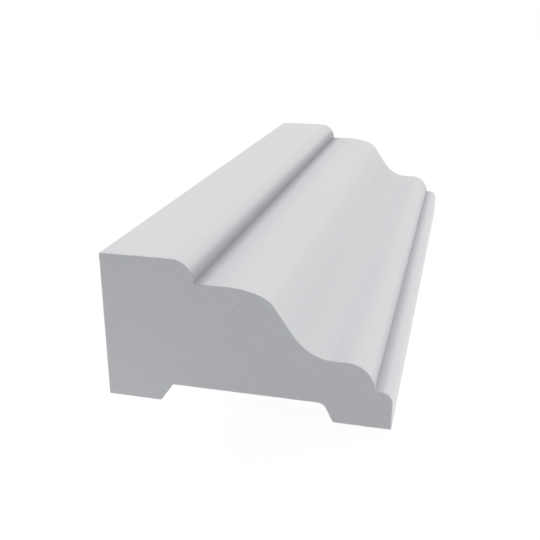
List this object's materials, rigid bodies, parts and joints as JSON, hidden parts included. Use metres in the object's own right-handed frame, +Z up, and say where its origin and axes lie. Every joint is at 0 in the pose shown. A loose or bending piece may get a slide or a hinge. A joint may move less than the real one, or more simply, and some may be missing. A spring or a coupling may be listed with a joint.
{
  "type": "shingle moulding",
  "caption": "Short length of roof-edge moulding in white cellular PVC, with a flat cap, an ogee, a rounded nose and a thin lip, and a relieved back on flat feet.",
  "frame": {"origin": "middle of the underside, level with the two feet of the back", "axes": "+X across from the thick edge to the thin lip, +Y along the length, +Z up out of the moulded face"},
  "size_m": [0.0508, 0.1366, 0.027],
  "materials": {
    "cellular_pvc": "white cellular PVC with a smooth matt extruded skin and finely porous sawn ends"
  },
  "bodies": {
    "root": {"shingle_moulding": "cellular_pvc"}
  },
  "joints": []
}
